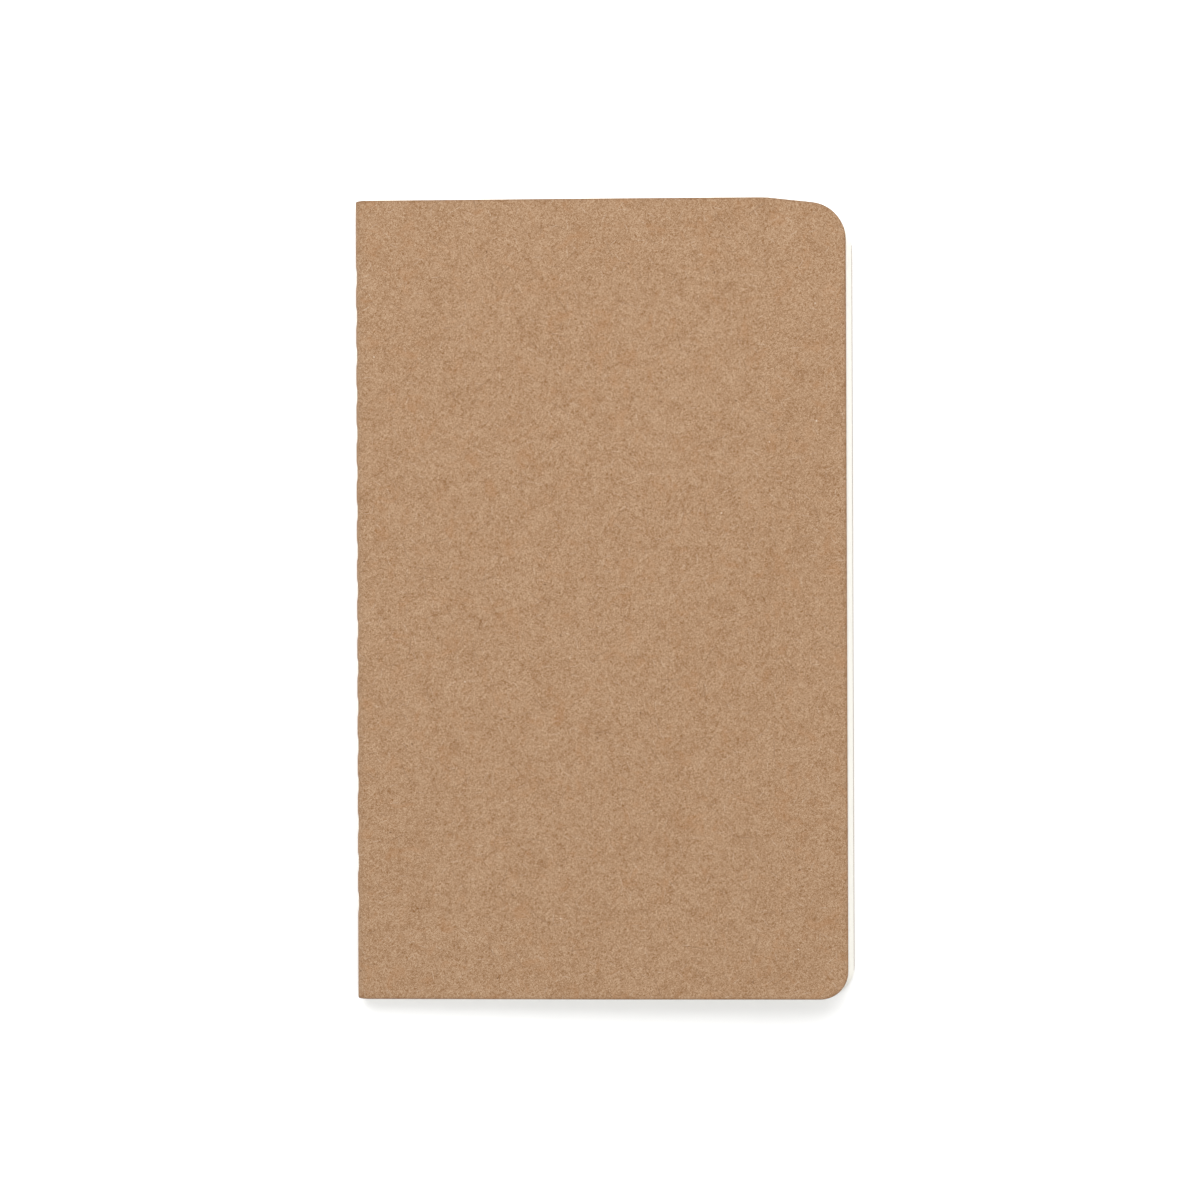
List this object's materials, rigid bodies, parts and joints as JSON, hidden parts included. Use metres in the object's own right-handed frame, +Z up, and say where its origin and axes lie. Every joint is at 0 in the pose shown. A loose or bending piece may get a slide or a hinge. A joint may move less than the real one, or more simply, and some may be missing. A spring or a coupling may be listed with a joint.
{
  "type": "pocket notebook",
  "caption": "Thread-sewn pocket notebook with plain paper leaves in a soft kraft card cover that opens flat and folds right round.",
  "frame": {"origin": "on the table under the middle of the closed notebook", "axes": "+X from the spine to the fore-edge, +Y to the head of the page, +Z up out of the front cover"},
  "size_m": [0.0876, 0.14, 0.0081],
  "materials": {
    "kraft_card": "uncoated matte",
    "cream_paper": "uncoated matte",
    "white_thread": "waxed"
  },
  "bodies": {
    "back_half": {"back_cover": "kraft_card", "cover_spine": "kraft_card", "sheet_folds": "cream_paper", "binding_thread": "white_thread", "rear_leaf_01": "cream_paper", "rear_leaf_02": "cream_paper", "rear_leaf_03": "cream_paper", "rear_leaf_04": "cream_paper", "rear_leaf_05": "cream_paper", "rear_leaf_06": "cream_paper", "rear_leaf_07": "cream_paper", "rear_leaf_08": "cream_paper", "rear_leaf_09": "cream_paper", "rear_leaf_10": "cream_paper", "rear_leaf_11": "cream_paper", "rear_leaf_12": "cream_paper", "rear_leaf_13": "cream_paper", "rear_leaf_14": "cream_paper", "rear_leaf_15": "cream_paper", "rear_leaf_16": "cream_paper"},
    "front_leaf_01": {"front_leaf_01": "cream_paper"},
    "front_leaf_02": {"front_leaf_02": "cream_paper"},
    "front_leaf_03": {"front_leaf_03": "cream_paper"},
    "front_leaf_04": {"front_leaf_04": "cream_paper"},
    "front_leaf_05": {"front_leaf_05": "cream_paper"},
    "front_leaf_06": {"front_leaf_06": "cream_paper"},
    "front_leaf_07": {"front_leaf_07": "cream_paper"},
    "front_leaf_08": {"front_leaf_08": "cream_paper"},
    "front_leaf_09": {"front_leaf_09": "cream_paper"},
    "front_leaf_10": {"front_leaf_10": "cream_paper"},
    "front_leaf_11": {"front_leaf_11": "cream_paper"},
    "front_leaf_12": {"front_leaf_12": "cream_paper"},
    "front_leaf_13": {"front_leaf_13": "cream_paper"},
    "front_leaf_14": {"front_leaf_14": "cream_paper"},
    "front_leaf_15": {"front_leaf_15": "cream_paper"},
    "front_leaf_16": {"front_leaf_16": "cream_paper"},
    "front_cover": {"front_cover": "kraft_card"}
  },
  "joints": [
    {"name": "middle_opening", "type": "hinge", "parent": "back_half", "child": "front_leaf_01", "pos_m": [-0.04126, 0, 0.00254], "axis": [0, -1, 0], "range_deg": [0, 177], "deforming": ["cover_spine", "sheet_folds", "binding_thread"]},
    {"name": "leaf_02_turn", "type": "hinge", "parent": "back_half", "child": "front_leaf_02", "pos_m": [-0.04126, 0, 0.00254], "axis": [0, -1, 0], "range_deg": [0, 177]},
    {"name": "leaf_03_turn", "type": "hinge", "parent": "back_half", "child": "front_leaf_03", "pos_m": [-0.04126, 0, 0.00254], "axis": [0, -1, 0], "range_deg": [0, 177]},
    {"name": "leaf_04_turn", "type": "hinge", "parent": "back_half", "child": "front_leaf_04", "pos_m": [-0.04126, 0, 0.00254], "axis": [0, -1, 0], "range_deg": [0, 177]},
    {"name": "leaf_05_turn", "type": "hinge", "parent": "back_half", "child": "front_leaf_05", "pos_m": [-0.04126, 0, 0.00254], "axis": [0, -1, 0], "range_deg": [0, 177]},
    {"name": "leaf_06_turn", "type": "hinge", "parent": "back_half", "child": "front_leaf_06", "pos_m": [-0.04126, 0, 0.00254], "axis": [0, -1, 0], "range_deg": [0, 177]},
    {"name": "leaf_07_turn", "type": "hinge", "parent": "back_half", "child": "front_leaf_07", "pos_m": [-0.04126, 0, 0.00254], "axis": [0, -1, 0], "range_deg": [0, 177]},
    {"name": "leaf_08_turn", "type": "hinge", "parent": "back_half", "child": "front_leaf_08", "pos_m": [-0.04126, 0, 0.00254], "axis": [0, -1, 0], "range_deg": [0, 177]},
    {"name": "leaf_09_turn", "type": "hinge", "parent": "back_half", "child": "front_leaf_09", "pos_m": [-0.04126, 0, 0.00254], "axis": [0, -1, 0], "range_deg": [0, 177]},
    {"name": "leaf_10_turn", "type": "hinge", "parent": "back_half", "child": "front_leaf_10", "pos_m": [-0.04126, 0, 0.00254], "axis": [0, -1, 0], "range_deg": [0, 177]},
    {"name": "leaf_11_turn", "type": "hinge", "parent": "back_half", "child": "front_leaf_11", "pos_m": [-0.04126, 0, 0.00254], "axis": [0, -1, 0], "range_deg": [0, 177]},
    {"name": "leaf_12_turn", "type": "hinge", "parent": "back_half", "child": "front_leaf_12", "pos_m": [-0.04126, 0, 0.00254], "axis": [0, -1, 0], "range_deg": [0, 177]},
    {"name": "leaf_13_turn", "type": "hinge", "parent": "back_half", "child": "front_leaf_13", "pos_m": [-0.04126, 0, 0.00254], "axis": [0, -1, 0], "range_deg": [0, 177]},
    {"name": "leaf_14_turn", "type": "hinge", "parent": "back_half", "child": "front_leaf_14", "pos_m": [-0.04126, 0, 0.00254], "axis": [0, -1, 0], "range_deg": [0, 177]},
    {"name": "leaf_15_turn", "type": "hinge", "parent": "back_half", "child": "front_leaf_15", "pos_m": [-0.04126, 0, 0.00254], "axis": [0, -1, 0], "range_deg": [0, 177]},
    {"name": "leaf_16_turn", "type": "hinge", "parent": "back_half", "child": "front_leaf_16", "pos_m": [-0.04126, 0, 0.00254], "axis": [0, -1, 0], "range_deg": [0, 177]},
    {"name": "front_cover_fold", "type": "hinge", "parent": "front_leaf_01", "child": "front_cover", "pos_m": [-0.04096, 0, 0.00513], "axis": [0, -1, 0], "range_deg": [0, 178]}
  ],
  "couplings": [
    {"joint": "leaf_02_turn", "follows": "middle_opening", "ratio": 0.9978},
    {"joint": "leaf_03_turn", "follows": "middle_opening", "ratio": 0.9956},
    {"joint": "leaf_04_turn", "follows": "middle_opening", "ratio": 0.9934},
    {"joint": "leaf_05_turn", "follows": "middle_opening", "ratio": 0.9912},
    {"joint": "leaf_06_turn", "follows": "middle_opening", "ratio": 0.989},
    {"joint": "leaf_07_turn", "follows": "middle_opening", "ratio": 0.9868},
    {"joint": "leaf_08_turn", "follows": "middle_opening", "ratio": 0.9846},
    {"joint": "leaf_09_turn", "follows": "middle_opening", "ratio": 0.9824},
    {"joint": "leaf_10_turn", "follows": "middle_opening", "ratio": 0.9802},
    {"joint": "leaf_11_turn", "follows": "middle_opening", "ratio": 0.978},
    {"joint": "leaf_12_turn", "follows": "middle_opening", "ratio": 0.9758},
    {"joint": "leaf_13_turn", "follows": "middle_opening", "ratio": 0.9736},
    {"joint": "leaf_14_turn", "follows": "middle_opening", "ratio": 0.9714},
    {"joint": "leaf_15_turn", "follows": "middle_opening", "ratio": 0.9692},
    {"joint": "leaf_16_turn", "follows": "middle_opening", "ratio": 0.967}
  ]
}
